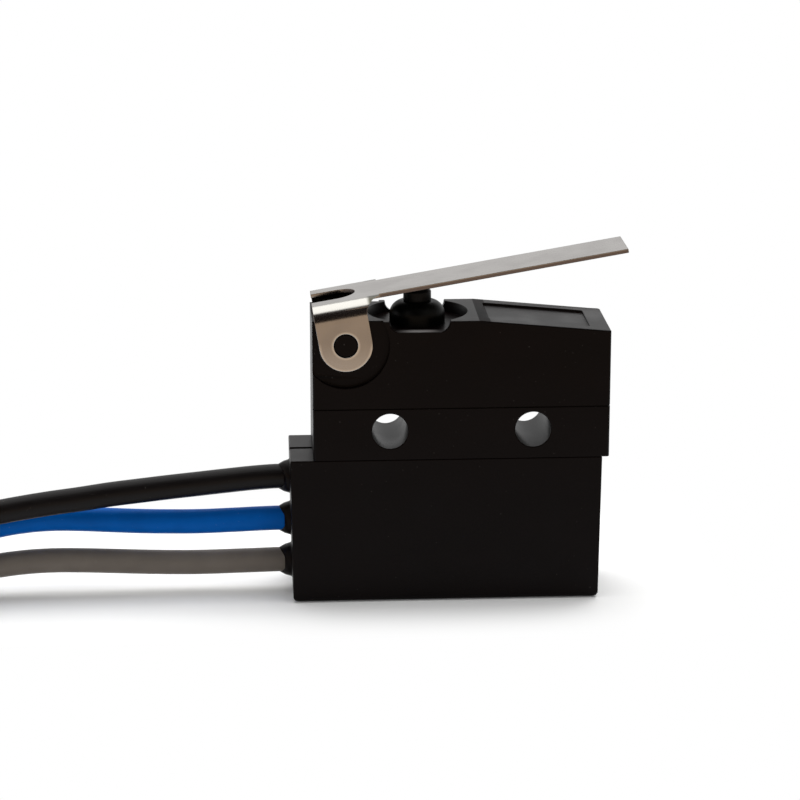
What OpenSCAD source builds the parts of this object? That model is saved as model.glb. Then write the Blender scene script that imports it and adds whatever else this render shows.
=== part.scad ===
// Sealed snap-action micro switch with a straight lever and three moulded-in leads.
// X runs along the housing towards the lever's tip, Y from front to back, Z up.
// The origin is on the underside of the wire cup, midway between the two mounting holes.

/* [Housing] */
// Length of the base and the cover, end to end
body_l = 19.7; // [19:0.1:22]
// Thickness from the front face to the back face
body_w = 6.4; // [6.2:0.1:8]
// Height of the base, from the wire cup to the parting line
base_h = 3.55; // [3.4:0.05:5]
// Height of the cover, from the parting line to its flat top
cover_h = 5.85; // [5.6:0.05:7]
// End walls of the contact chamber
end_wall = 1; // [0.8:0.05:1.2]
// Front and back walls of the contact chamber
side_wall = 1; // [0.8:0.05:1.2]
// Roof of the contact chamber under the boot recess
roof_t = 0.95; // [0.7:0.05:1.2]
// Radius on the upright edges of the base and the cover
edge_r = 0.2; // [0.1:0.05:0.4]
// Distance from the middle of the housing to where the top starts to slope
slope_x = 1.2; // [0.8:0.1:3]
// Fall of the sloping top
slope_deg = 5.4; // [3:0.1:6]
// Length of the sunken field on the sloping top
field_l = 6.8; // [4:0.1:7]
// Depth of the sunken field
field_depth = 0.15; // [0.05:0.05:0.25]
// Rim left around the sunken field at the front and the back
field_rim = 1; // [0.6:0.1:1.6]

/* [Mounting holes] */
// Distance between the two holes
hole_pitch = 9.5; // [9:0.1:10]
// Diameter of each hole
hole_d = 2.4; // [2:0.1:2.6]
// Height of the holes above the underside of the base
hole_rise = 1.95; // [1.8:0.05:2.1]

/* [Wire cup] */
// Height of the cup
cup_h = 9.9; // [9.5:0.1:12]
// How far the cup's ledge stands out past the base, on the lead side
ledge_l = 1.53; // [1:0.05:2.5]
// How far the cup stops short of the base, on the lever's tip side
cup_inset = 0.46; // [0:0.02:0.6]
// Taper of the two ends towards the floor
cup_draft = 0.7; // [0:0.1:1.5]
// Radius along the bottom edges
cup_foot_r = 0.4; // [0.2:0.05:0.6]
// Thickness of the cup's front, back and right walls
cup_wall = 0.75; // [0.6:0.05:0.9]
// Thickness of the cup's floor
cup_floor = 1; // [0.7:0.05:1.1]
// Thickness of the wall that the leads pass through
lead_wall = 2.05; // [1.6:0.05:2.3]
// Width of the groove along the middle of the ledge and the lead wall, twice its depth
seam = 0.4; // [0.2:0.05:0.6]
// Depth of the plug on the base that closes the cup
plug_h = 0.6; // [0.3:0.1:0.8]

/* [Leads] */
// Outside diameter of each lead
lead_d = 1.66; // [1.4:0.02:1.9]
// Diameter of the bundle of copper strands
strand_d = 0.9; // [0.7:0.05:1]
// Height of the lowest lead above the floor
lead_low = 2.05; // [2:0.05:2.4]
// Depth of the highest lead below the cup's rim
lead_high = 1.95; // [1.9:0.05:2.3]
// Length of the tapered collar around each lead
collar_l = 0.72; // [0.4:0.02:1.2]
// Radius of the collar where it meets the cup
collar_r = 1.15; // [1:0.05:1.3]

/* [Plunger and boot] */
// Distance of the plunger's axis from the middle of the housing, towards the leads
plunger_off = 2.78; // [2.4:0.02:3.2]
// Diameter of the plunger's head
head_d = 1.86; // [1.6:0.02:2]
// Radius of the head's domed top
head_dome = 1.25; // [1.1:0.05:2]
// Diameter of the plunger's stem
stem_d = 1.4; // [1.3:0.05:1.5]
// Outside diameter of the rubber boot
boot_d = 3.7; // [3.4:0.1:3.8]
// Thickness of the boot's rubber
boot_t = 0.35; // [0.25:0.05:0.45]
// Height of the boot's straight skirt
boot_skirt = 0.55; // [0.3:0.05:0.7]
// Radius of the round recess that the boot stands in
recess_r = 3.35; // [3.3:0.05:3.6]
// Depth of the recess below the flat top
recess_depth = 0.75; // [0.6:0.05:0.9]
// Width of the slot that opens the recess to the front and the back
slot_w = 4; // [3.5:0.1:4.2]
// Radius along the bottom corners of that slot
slot_r = 0.7; // [0.2:0.05:0.7]

/* [Lever] */
// Distance of the lever's pivot from the left end of the housing
pivot_in = 2.2; // [2:0.05:2.4]
// Depth of the pivot below the flat top
pivot_drop = 1.58; // [1.4:0.02:1.8]
// Angle of the lever at rest
lever_deg = 9.7; // [9.2:0.1:11]
// Thickness of the lever's sheet steel
lever_t = 0.28; // [0.2:0.01:0.3]
// Height of the lever's underside above the pivot, square to the lever
lever_rise = 2.52; // [2.5:0.02:2.8]
// Reach of the lever's tip from the pivot, along the lever
lever_reach = 19.4; // [12:0.1:30]
// Width of the lever's strap
strap_w = 4; // [2.6:0.1:4.2]
// Outside radius of the two bends that turn the ears down
bend_r = 1; // [0.6:0.05:1.05]
// Radius of the ears' round ends
ear_r = 1.75; // [1.5:0.05:1.85]
// Width of the notch between the two ears
notch_w = 2.5; // [1.5:0.1:2.8]
// Depth of that notch, along the lever from its rear end
notch_l = 2.95; // [2:0.05:3.1]
// Diameter of the two pivot studs on the cover
stud_d = 1.5; // [1.3:0.05:1.6]
// Radius of the round pocket that each ear swings in
pocket_r = 2.9; // [2.8:0.05:3]

/* [Snap mechanism] */
// Thickness of the terminal strips
strip_t = 0.4; // [0.3:0.05:0.5]
// Width of the terminal strips inside the housing
strip_w = 2.6; // [2.2:0.1:3]
// Width of the terminals' tails inside the cup
tail_w = 1.6; // [1.4:0.1:2]
// Thickness of the contact blade and of the rocker
blade_t = 0.2; // [0.15:0.01:0.25]
// Width of the contact blade
blade_w = 3.2; // [2.9:0.1:3.4]
// Width of the window in the blade that the rocker and the spring work in
window_w = 2; // [1.8:0.1:2.2]
// Width of the rocker
rocker_w = 1.4; // [1.2:0.05:1.5]
// Diameter of the contact buttons
contact_d = 1.5; // [1.2:0.1:1.8]
// Height of the moving and the upper contact buttons
contact_h = 0.45; // [0.3:0.05:0.5]
// Diameter of the contacts' rivet shanks
shank_d = 0.8; // [0.6:0.05:1]
// Slope of the contact blade at rest
blade_deg = 1.9; // [1.5:0.1:2.2]
// Outside diameter of the snap spring
spring_d = 1.2; // [0.9:0.05:1.3]
// Diameter of the spring's wire
spring_wire = 0.18; // [0.12:0.01:0.22]
// Number of turns in the spring
spring_turns = 9; // [6:1:12]

/* [Hank of spare lead] */
// Straight length of the hank between its round ends
hank_run = 16; // [12:1:24]
// Radius of the innermost lead at the round ends
hank_bend = 5.1; // [5:0.1:6.5]
// Spacing of the leads, side by side and one on another
lay_pitch = 1.7; // [1.66:0.02:1.8]
// Width of the tie
tie_w = 2.5; // [1.5:0.1:4]
// Thickness of the tie
tie_t = 0.3; // [0.2:0.05:0.4]

/* [Hidden] */
$fn = 48;
// Clearance of a moving part beside what guides it
run_gap = 0.05;
// Clearance between parts that are put together by hand
fit_gap = 0.03;
// Clearance of a terminal strip in its slot through the base
slot_gap = 0.01;
// Side clearance between the lever's ears and the cover
ear_gap = 0.1;
// Overlap of a cutting tool past the face that it cuts
past = 1;

// Levels of the stacked mouldings
base_z = cup_h;
part_z = base_z + base_h;
top_z = part_z + cover_h;
recess_z = top_z - recess_depth;
roof_z = recess_z - roof_t;
hole_z = base_z + hole_rise;

// Ends of the mouldings along X
left_x = -body_l / 2;
right_x = body_l / 2;
cup_left = left_x - ledge_l;
cup_right = right_x - cup_inset;
chamber_l = body_l - 2 * end_wall;
chamber_w = body_w - 2 * side_wall;
fill_left = cup_left + lead_wall;
fill_right = cup_right - cup_wall - cup_h * tan(cup_draft);
fill_w = body_w - 2 * cup_wall;
fill_top = cup_h - plug_h;

// Groove around the parting line, and the rim that locates the cover on the base
part_groove = 0.1;
rim_t = 0.35;
rim_h = 0.5;

// Share of the slope's spare length that lies above the sunken field
field_share = 0.3;

// Lever and plunger, set so that the head's dome just meets the lever's underside
pivot_x = left_x + pivot_in;
pivot_z = top_z - pivot_drop;
plunger_x = -plunger_off;
touch_gap = 0.02;
head_arm = plunger_x - pivot_x;
dome_z = pivot_z + (lever_rise - head_dome - touch_gap + head_arm * sin(lever_deg)) / cos(lever_deg);
head_top = dome_z + head_dome;
boot_round = boot_d / 2 - head_d / 2;
boot_top = recess_z + boot_skirt + boot_round;
neck_cut = 0.1;
neck_d = stem_d - 2 * neck_cut;
flange_out = 0.4;
flange_d = stem_d + 2 * flange_out;
flange_t = 0.3;
flange_gap = 0.1;
ear_face = body_w / 2;
ear_inner = ear_face - lever_t;
pocket_floor = ear_inner - ear_gap;
ear_hole_d = stud_d + 2 * run_gap;
shoulder_lip = 0.03;
shoulder_r = bend_r - shoulder_lip;
shoulder_least = 0.05;

// Solder joints between the leads' strands and the terminals' tails
solder_l = 0.5;
solder_r = 0.78;
solder_lip = 0.05;
solder_gap = 0.2;

// Terminals, set in from the two ends of the contact chamber
common_gap = 0.35;
common_x = left_x + end_wall + common_gap;
common_face = common_x + strip_t;
closed_x = fill_right - solder_l - solder_gap - strip_t;
open_x = 0;
strip_end = 0.1;
shank_fit = 0.02;
contact_in = 2;
contact_x = closed_x - contact_in;
arm_gap = 0.5;
arm_z = roof_z - arm_gap - strip_t;
closed_face = arm_z - contact_h;

// Blade, which pivots in the lower groove of the common terminal
groove = 0.15;
groove_slope = 1.4;
knife_x = common_face - groove + run_gap;
knife_l = 0.25;
blade_arm = contact_x - knife_x;
moving_gap = 0.05;
blade_mid = closed_face - moving_gap - contact_h - blade_t / 2;
knife_z = blade_mid - blade_arm * tan(blade_deg);
blade_swing = 2;
blade_end = 0.15;
open_face = knife_z + blade_arm * tan(blade_deg - blade_swing) - blade_t / 2 - contact_h - moving_gap;
window_start = 1.1;
window_rim = 0.9;
window_end = contact_x - contact_d / 2 - window_rim;

// Rocker, which pivots in the upper groove and is pushed by the plunger's tip
rocker_rise = 1.2;
rocker_z = knife_z + rocker_rise;
rocker_past = 1.7;
rocker_end = plunger_x + rocker_past;
hook_drop = 0.55;
hook_in = 0.15;
tip_r = neck_d / 2;
tip_z = rocker_z + blade_t / 2 + touch_gap;
common_rise = 0.55;
common_top = rocker_z + common_rise;
turn_steps = 12;
spring_sides = 6;

// Leads: the upper one feeds the common strip, the middle one the open, the lower one the closed
lead_x = cup_left - collar_l;
lead_pitch = (cup_h - lead_low - lead_high) / 2;
lead_z = [for (i = [0 : 2]) lead_low + (2 - i) * lead_pitch];
tail_x = [common_x, open_x - strip_t / 2, closed_x];
tail_drop = 0.9;
lug_gap = 0.1;
lug_d = strand_d + 2 * lug_gap;
strip_back = 0.15;
strand_past = 0.1;
collar_lip = 0.1;
lead_color = ["#202020", "#1450a0", "#6a5f55"];
lead_sides = 8;

// Hank: two lanes of three layers, with its front outer lane in line with the leads
hank_lane = hank_bend + lay_pitch;
hank_out = hank_lane + lead_d / 2;
hank_in = hank_bend - lead_d / 2;
hank_x = -41;
hank_y = 5;
hank_h = 2 * lay_pitch + lead_d;
tie_x = hank_x - hank_run / 2;

// Centre lines of the leads from the cup to the hank
black_route = [
    [lead_x, 0, lead_z[0]], [-13.5, 0, 7.88], [-15.5, 0, 7.7], [-17.5, -0.1, 7.53], [-19.5, -0.2, 7.36],
    [-21.5, -0.4, 7.2], [-23.5, -0.6, 7.03], [-25.5, -0.8, 6.8], [-27.5, -1, 6.6], [-29.5, -1.2, 6.35],
    [-31.5, -1.4, 6.05], [-33.5, -1.55, 5.7], [-35.5, -1.7, 5.3], [-37.5, -1.8, 4.95], [-39.5, -1.8, 4.65],
    [-41.5, -1.8, 4.53]
];
blue_route = [
    [lead_x, 0, lead_z[1]], [-13.5, 0, 4.97], [-15.5, 0, 4.9], [-17.5, 0.1, 4.82], [-19.5, 0.2, 4.81],
    [-21.5, 0.3, 4.84], [-23.5, 0.45, 4.9], [-25.5, 0.55, 4.98], [-27.5, 0.55, 5.02], [-29.5, 0.4, 4.92],
    [-31.5, 0.1, 4.65], [-33.5, -0.4, 4.2], [-35.5, -0.95, 3.7], [-37.5, -1.45, 3.25], [-39.5, -1.75, 2.93],
    [-41.5, -1.8, 2.83]
];
grey_route = [
    [lead_x, 0, lead_z[2]], [-13.5, 0, 2.02], [-15.5, 0, 1.98], [-17.5, 0, 1.95], [-19.5, 0, 1.98],
    [-21.5, 0, 2.05], [-23.5, 0, 2.14], [-25.5, 0, 2.22], [-27.5, 0, 2.25], [-29.5, -0.1, 2.18],
    [-31.5, -0.35, 2], [-33.5, -0.75, 1.75], [-35.5, -1.2, 1.5], [-37.5, -1.6, 1.28], [-39.5, -1.78, 1.16],
    [-41.5, -1.8, 1.13]
];

// Flat shapes and cutting tools that several parts share

// Rectangle about the origin with round corners
module round_rect(l, w, r) {
    square([l - 2 * r, w], center = true);
    square([l, w - 2 * r], center = true);
    for (x = [-1, 1])
        for (y = [-1, 1])
            translate([x * (l / 2 - r), y * (w / 2 - r)]) circle(r);
}

// Stands an outline drawn in X and Z upright, as thick as w about Y = 0
module upright(w) {
    rotate([90, 0, 0]) linear_extrude(w, center = true) children();
}

// Stands an outline drawn in Y and Z upright, as long as l about X = 0
module crosswise(l) {
    rotate([90, 0, 90]) linear_extrude(l, center = true) children();
}

// Round bar along X from x0 to x1
module bar_x(x0, x1, r) {
    translate([x0, 0, 0]) rotate([0, 90, 0]) cylinder(h = x1 - x0, r = r);
}

// Round bar along Y, about Y = 0
module bar_y(l, r) {
    rotate([90, 0, 0]) cylinder(h = l, r = r, center = true);
}

// Block from one corner to the other
module block(low, high) {
    translate(low) cube(high - low);
}

// Housing mouldings

// Side view of the cup: ends that taper towards the floor, with round bottom corners
module cup_side() {
    foot_in = cup_h * tan(cup_draft);
    r = cup_foot_r;
    polygon([
        [cup_left, cup_h], [cup_left + foot_in, r], [cup_left + foot_in + r, 0],
        [cup_right - foot_in - r, 0], [cup_right - foot_in, r], [cup_right, cup_h]
    ]);
    translate([cup_left + foot_in + r, r]) circle(r);
    translate([cup_right - foot_in - r, r]) circle(r);
}

// End view of the cup: a box with round bottom edges
module cup_end() {
    r = cup_foot_r;
    translate([-body_w / 2, r]) square([body_w, cup_h - r]);
    translate([-body_w / 2 + r, 0]) square([body_w - 2 * r, r]);
    for (y = [-1, 1])
        translate([y * (body_w / 2 - r), r]) circle(r);
}

// Space inside the cup, up to a given level
module cup_space(top) {
    block([fill_left, -fill_w / 2, cup_floor], [fill_right, fill_w / 2, top]);
}

// Groove down the middle of the ledge and of the lead wall, where the two mould halves met
module cup_seam() {
    depth = seam / 2;
    block([cup_left - past, -seam / 2, cup_h - depth], [left_x, seam / 2, cup_h + past]);
    upright(seam)
        polygon([
            [cup_left - past, cup_floor], [cup_left + cup_h * tan(cup_draft) + depth, cup_floor],
            [cup_left + depth, cup_h], [cup_left - past, cup_h]
        ]);
}

// Tapered collar around a lead, carried on into the lead wall
module collar() {
    root = lead_wall / 2;
    tip_r = lead_d / 2 + collar_lip;
    cylinder(h = collar_l + root, r1 = tip_r, r2 = collar_r + (collar_r - tip_r) * root / collar_l);
}

// Moulded cup that takes the terminals' tails and the leads, with a tapered collar at each lead
module wire_cup() {
    color("#1c1c1e")
        difference() {
            union() {
                difference() {
                    intersection() {
                        upright(body_w) cup_side();
                        translate([(cup_left + cup_right) / 2, 0, 0])
                            crosswise(body_l + 2 * ledge_l) cup_end();
                    }
                    cup_seam();
                }
                for (z = lead_z)
                    translate([lead_x, 0, z]) rotate([0, 90, 0]) collar();
            }
            cup_space(cup_h + past);
            for (z = lead_z)
                translate([0, 0, z]) bar_x(lead_x - past, fill_left + past, lead_d / 2);
        }
}

// Resin that fills the cup around the leads and the terminals' tails
module potting() {
    color("#2a2622")
        difference() {
            cup_space(fill_top);
            for (i = [0 : 2]) {
                translate([0, 0, lead_z[i]]) bar_x(fill_left - past, lead_end_x(i), lead_d / 2);
                translate([0, 0, lead_z[i]]) bar_x(lead_end_x(i) - past, strand_end_x(i), strand_d / 2);
                solder_form(i);
                tail(i, fill_top + past);
            }
        }
}

// Base plate with the mounting holes, the slots for the terminals and the rim that locates the cover
module base() {
    color("#1b1b1d")
        difference() {
            union() {
                translate([0, 0, base_z])
                    linear_extrude(base_h - part_groove) round_rect(body_l, body_w, edge_r);
                translate([0, 0, part_z - part_groove])
                    linear_extrude(part_groove)
                        round_rect(body_l - 2 * part_groove, body_w - 2 * part_groove, edge_r);
                block([fill_left + fit_gap, -fill_w / 2 + fit_gap, fill_top],
                      [fill_right - fit_gap, fill_w / 2 - fit_gap, base_z]);
                base_rim();
            }
            for (x = [-1, 1])
                translate([x * hole_pitch / 2, 0, hole_z]) bar_y(body_w + 2 * past, hole_d / 2);
            for (x = tail_x)
                block([x - slot_gap, -strip_w / 2 - slot_gap, fill_top - past],
                      [x + strip_t + slot_gap, strip_w / 2 + slot_gap, part_z + past]);
        }
}

// Upstanding rim that fits inside the cover's walls
module base_rim() {
    l = chamber_l - 2 * fit_gap;
    w = chamber_w - 2 * fit_gap;
    translate([0, 0, part_z])
        difference() {
            translate([-l / 2, -w / 2, 0]) cube([l, w, rim_h]);
            translate([-l / 2 + rim_t, -w / 2 + rim_t, -past])
                cube([l - 2 * rim_t, w - 2 * rim_t, rim_h + 2 * past]);
        }
}

// Side view of the cover: flat over the plunger, then falling away towards the lever's tip
module cover_side() {
    polygon([
        [left_x, part_z], [right_x, part_z],
        [right_x, top_z - (right_x - slope_x) * tan(slope_deg)], [slope_x, top_z], [left_x, top_z]
    ]);
}

// Recess that the boot stands in: a round bowl, opened to the front and the back by a slot
module boot_recess() {
    translate([plunger_x, 0, recess_z]) {
        cylinder(h = recess_depth + past, r = recess_r);
        upright(body_w + 2 * past) {
            translate([-slot_w / 2 + slot_r, 0]) square([slot_w - 2 * slot_r, recess_depth + past]);
            translate([-slot_w / 2, slot_r]) square([slot_w, recess_depth - slot_r + past]);
            for (x = [-1, 1])
                translate([x * (slot_w / 2 - slot_r), slot_r]) circle(slot_r);
        }
    }
}

// Bare sunken field on the sloping top
module sunken_field() {
    translate([slope_x, 0, top_z]) rotate([0, slope_deg, 0])
        translate([field_l / 2 + (right_x - slope_x - field_l) * field_share, 0, -field_depth])
            linear_extrude(past) round_rect(field_l, body_w - 2 * field_rim, edge_r);
}

// Cover over the contact chamber, with the boot recess, the lever's pockets and its two pivot studs
module cover() {
    color("#18181a") {
        difference() {
            intersection() {
                upright(body_w) cover_side();
                translate([0, 0, part_z]) linear_extrude(cover_h + past) round_rect(body_l, body_w, edge_r);
            }
            block([-chamber_l / 2, -chamber_w / 2, part_z - past], [chamber_l / 2, chamber_w / 2, roof_z]);
            boot_recess();
            sunken_field();
            for (side = [-1, 1])
                translate([pivot_x, side * (pocket_floor + past), pivot_z]) bar_y(2 * past, pocket_r);
            translate([plunger_x, 0, roof_z - past])
                cylinder(h = roof_t + 2 * past, d = stem_d + 2 * run_gap);
        }
        for (side = [-1, 1])
            translate([pivot_x, side * (pocket_floor + ear_face - run_gap) / 2, pivot_z])
                bar_y(ear_face - run_gap - pocket_floor, stud_d / 2);
    }
}

// Lever, drawn flat about its pivot and then turned to its rest angle

// Plan of the flat: the strap, the wider root, and the notch between the ears
module lever_plan() {
    root_w = 2 * (ear_face - bend_r);
    difference() {
        union() {
            translate([0, -strap_w / 2]) square([lever_reach, strap_w]);
            translate([-ear_r, -root_w / 2]) square([2 * ear_r, root_w]);
        }
        translate([-ear_r - past, -notch_w / 2]) square([notch_l - notch_w / 2 + past, notch_w]);
        translate([notch_l - ear_r - notch_w / 2, 0]) circle(notch_w / 2);
    }
}

// Section of a bend about its centre: the edge of the flat, then the quarter round down to the ear
module bend_section() {
    edge_w = max(ear_face - bend_r - strap_w / 2, 0) + shoulder_least;
    translate([-edge_w, bend_r - lever_t]) square([edge_w, lever_t]);
    intersection() {
        difference() {
            circle(bend_r);
            circle(bend_r - lever_t);
        }
        square(bend_r);
    }
}

// Side view of a bend, with the hollow shoulder that runs out under the strap's edge
module bend_side() {
    difference() {
        translate([-ear_r, 0]) square([2 * ear_r + shoulder_r, bend_r]);
        translate([ear_r + shoulder_r, 0]) circle(shoulder_r);
    }
}

// One ear: the quarter-round bend with its shoulder, and the tab with its pivot hole
module ear() {
    bend_z = lever_rise + lever_t - bend_r;
    translate([0, ear_face - bend_r, bend_z])
        intersection() {
            translate([shoulder_r / 2, 0, 0]) crosswise(2 * ear_r + shoulder_r) bend_section();
            upright(2 * body_w) bend_side();
        }
    difference() {
        translate([0, (ear_face + ear_inner) / 2, 0])
            upright(lever_t) {
                circle(ear_r);
                translate([-ear_r, 0]) square([2 * ear_r, bend_z]);
            }
        bar_y(body_w + 2 * past, ear_hole_d / 2);
    }
}

// Stainless lever: a strap with two ears bent down over the cover's pivot studs
module lever() {
    color("#b9b6b2")
        translate([pivot_x, 0, pivot_z]) rotate([0, -lever_deg, 0]) {
            translate([0, 0, lever_rise]) linear_extrude(lever_t) lever_plan();
            ear();
            mirror([0, 1, 0]) ear();
        }
}

// Plunger and its seal

// Plunger: domed head, neck that the boot grips, guided stem, stop flange and rounded tip
module plunger() {
    flange_z = roof_z - flange_gap - flange_t;
    color("#141416")
        translate([plunger_x, 0, 0]) {
            intersection() {
                translate([0, 0, dome_z]) sphere(head_dome);
                translate([0, 0, boot_top]) cylinder(h = head_top - boot_top, d = head_d);
            }
            translate([0, 0, boot_top - boot_t]) cylinder(h = boot_t, d = neck_d);
            translate([0, 0, flange_z]) cylinder(h = boot_top - boot_t - flange_z, d = stem_d);
            translate([0, 0, flange_z]) cylinder(h = flange_t, d = flange_d);
            translate([0, 0, tip_z + tip_r]) cylinder(h = flange_z - tip_z - tip_r, r = tip_r);
            translate([0, 0, tip_z + tip_r]) sphere(tip_r);
        }
}

// Section of the boot, from its axis outwards
module boot_section(skirt_r, round_r, top_r) {
    square([skirt_r, boot_skirt]);
    intersection() {
        translate([skirt_r - round_r, boot_skirt]) circle(round_r);
        square([skirt_r, boot_skirt + round_r]);
    }
    square([top_r, boot_skirt + round_r]);
}

// Rubber boot that seals the plunger: a bell that stands in the recess and grips the plunger's neck
module plunger_boot() {
    color("#101012")
        translate([plunger_x, 0, recess_z])
            rotate_extrude()
                difference() {
                    boot_section(boot_d / 2, boot_round, head_d / 2);
                    boot_section(boot_d / 2 - boot_t, boot_round - boot_t, head_d / 2);
                    square([neck_d / 2 + fit_gap, boot_skirt + boot_round + past]);
                }
}

// Terminals, contacts and the snap mechanism

// Tail of a terminal, from just below its lead up to a given level
module tail(i, top) {
    block([tail_x[i], -tail_w / 2, lead_z[i] - tail_drop], [tail_x[i] + strip_t, tail_w / 2, top]);
}

// Strip through the base with a drilled tail below it, up to a given level
module terminal_stem(i, top) {
    difference() {
        union() {
            tail(i, fill_top);
            block([tail_x[i], -strip_w / 2, fill_top], [tail_x[i] + strip_t, strip_w / 2, top]);
        }
        translate([0, 0, lead_z[i]]) bar_x(tail_x[i] - past, tail_x[i] + strip_t + past, lug_d / 2);
    }
}

// Common terminal, with the two grooves that the blade and the rocker pivot in
module common_terminal() {
    color("#c9a24a")
        difference() {
            terminal_stem(0, common_top);
            for (z = [knife_z, rocker_z])
                upright(strip_w + past)
                    polygon([
                        [common_face - groove, z],
                        [common_face + past, z + groove_slope * (groove + past)],
                        [common_face + past, z - groove_slope * (groove + past)]
                    ]);
        }
}

// Normally open terminal, which turns along the base to sit under the moving contact
module open_terminal() {
    color("#c9a24a")
        difference() {
            union() {
                terminal_stem(1, part_z + strip_t);
                block([open_x - strip_t / 2, -strip_w / 2, part_z],
                      [contact_x + contact_d / 2 + strip_end, strip_w / 2, part_z + strip_t]);
            }
            translate([contact_x, 0, part_z + strip_t / 2]) cylinder(h = strip_t, d = shank_d + shank_fit);
        }
}

// Normally closed terminal, which turns over the moving contact
module closed_terminal() {
    color("#c9a24a")
        difference() {
            union() {
                terminal_stem(2, arm_z + strip_t);
                block([contact_x - contact_d / 2 - strip_end, -strip_w / 2, arm_z],
                      [closed_x + strip_t, strip_w / 2, arm_z + strip_t]);
            }
            translate([contact_x, 0, arm_z - past])
                cylinder(h = strip_t + 2 * past, d = shank_d + shank_fit);
        }
}

// Contact button riveted to the normally open terminal
module open_contact() {
    color("#e0dcd0")
        translate([contact_x, 0, part_z + strip_t]) {
            cylinder(h = open_face - part_z - strip_t, d = contact_d);
            translate([0, 0, -strip_t / 2]) cylinder(h = strip_t, d = shank_d);
        }
}

// Contact button riveted under the normally closed terminal
module closed_contact() {
    color("#e0dcd0")
        translate([contact_x, 0, closed_face]) {
            cylinder(h = contact_h, d = contact_d);
            cylinder(h = contact_h + strip_t, d = shank_d);
        }
}

// Places its children at the blade's knife edge, turned to the blade's rest angle
module at_blade() {
    translate([knife_x, 0, knife_z]) rotate([0, -blade_deg, 0]) children();
}

// Side view of a flat arm with a knife edge at its left end
module knife_arm(l) {
    polygon([
        [0, 0], [knife_l, -blade_t / 2], [l, -blade_t / 2], [l, blade_t / 2], [knife_l, blade_t / 2]
    ]);
}

// Contact blade: a frame that pivots in the common terminal and carries the moving contact
module contact_blade() {
    color("#c98f5a")
        at_blade()
            difference() {
                upright(blade_w) knife_arm(blade_arm + contact_d / 2 + blade_end);
                block([window_start, -window_w / 2, -past], [window_end - knife_x, window_w / 2, past]);
                translate([blade_arm, 0, -past]) cylinder(h = 2 * past, d = shank_d + shank_fit);
            }
}

// Moving contact: a rivet with a button on both sides of the blade
module moving_contact() {
    color("#e0dcd0")
        at_blade()
            translate([blade_arm, 0, 0]) {
                cylinder(h = blade_t, d = shank_d, center = true);
                for (side = [-1, 1])
                    translate([0, 0, side * (blade_t + contact_h) / 2])
                        cylinder(h = contact_h, d = contact_d, center = true);
            }
}

// Rocker that the plunger pushes down, with a turned-down end that the spring hooks on
module rocker() {
    color("#c98f5a")
        translate([knife_x, 0, rocker_z]) {
            upright(rocker_w) knife_arm(rocker_end - knife_x);
            block([rocker_end - knife_x - blade_t, -rocker_w / 2, -hook_drop],
                  [rocker_end - knife_x, rocker_w / 2, 0]);
        }
}

// Points of a ring of the given radius across a path's direction
function ring(centre, ahead, r, sides) =
    let (along = ahead / norm(ahead),
         side = cross(along, [0, 0, 1]),
         across = norm(side) > 0.01 ? side / norm(side) : [0, 1, 0],
         over = cross(across, along))
    [
        for (i = [0 : sides - 1])
            let (a = 360 * (i + 0.5) / sides)
            centre + r * (cos(a) * across + sin(a) * over)
    ];

// Direction of a path at one of its points; both ends of a path face along X
function heading(path, i) =
    i == 0 || i == len(path) - 1 ? [path[1][0] < path[0][0] ? -1 : 1, 0, 0] : path[i + 1] - path[i - 1];

// Closed tube along a path
module tube(path, r, sides) {
    rings = len(path);
    points = [for (i = [0 : rings - 1]) each ring(path[i], heading(path, i), r, sides)];
    walls = [
        for (i = [0 : rings - 2])
            for (j = [0 : sides - 1])
                let (k = (j + 1) % sides)
                each [
                    [i * sides + j, i * sides + k, (i + 1) * sides + j],
                    [i * sides + k, (i + 1) * sides + k, (i + 1) * sides + j]
                ]
    ];
    caps = [[for (j = [sides - 1 : -1 : 0]) j], [for (j = [0 : sides - 1]) (rings - 1) * sides + j]];
    polyhedron(points, concat(walls, caps));
}

// Tension spring that snaps the blade over as the rocker passes through its window
module snap_spring() {
    from = [rocker_end + spring_wire, rocker_z - hook_drop + hook_in];
    to = [window_end - spring_wire, knife_z + (window_end - knife_x) * tan(blade_deg)];
    steps = spring_turns * turn_steps;
    coil_r = (spring_d - spring_wire) / 2;
    path = [
        for (i = [0 : steps])
            let (t = i / steps,
                 r = coil_r * min(1, t * spring_turns, (1 - t) * spring_turns),
                 a = 360 * spring_turns * t)
            [from[0] + (to[0] - from[0]) * t, r * sin(a), from[1] + (to[1] - from[1]) * t + r * cos(a)]
    ];
    color("#d0d0d4") tube(path, spring_wire / 2, spring_sides);
}

// Leads inside the cup

// Where a lead's insulation ends, and where its strands end, along X
function lead_end_x(i) = tail_x[i] - solder_l - strip_back;
function strand_end_x(i) = tail_x[i] + strip_t + solder_l + strand_past;

// Insulated end of a lead, from the collar to just before its terminal
module lead_end(i) {
    color(lead_color[i])
        translate([0, 0, lead_z[i]])
            difference() {
                bar_x(lead_x, lead_end_x(i), lead_d / 2);
                bar_x(lead_x - past, lead_end_x(i) + past, strand_d / 2);
            }
}

// Copper strands of a lead, through its insulation and the hole in the terminal's tail
module strands(i) {
    color("#b87333") translate([0, 0, lead_z[i]]) bar_x(lead_x, strand_end_x(i), strand_d / 2);
}

// Outer form of a solder joint: a cone on each face of the tail, and the filled hole between them
module solder_form(i) {
    x = tail_x[i];
    lip_r = strand_d / 2 + solder_lip;
    translate([0, 0, lead_z[i]]) {
        translate([x - solder_l, 0, 0]) rotate([0, 90, 0]) cylinder(h = solder_l, r1 = lip_r, r2 = solder_r);
        translate([x + strip_t, 0, 0]) rotate([0, 90, 0]) cylinder(h = solder_l, r1 = solder_r, r2 = lip_r);
        bar_x(x, x + strip_t, lug_d / 2);
    }
}

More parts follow.
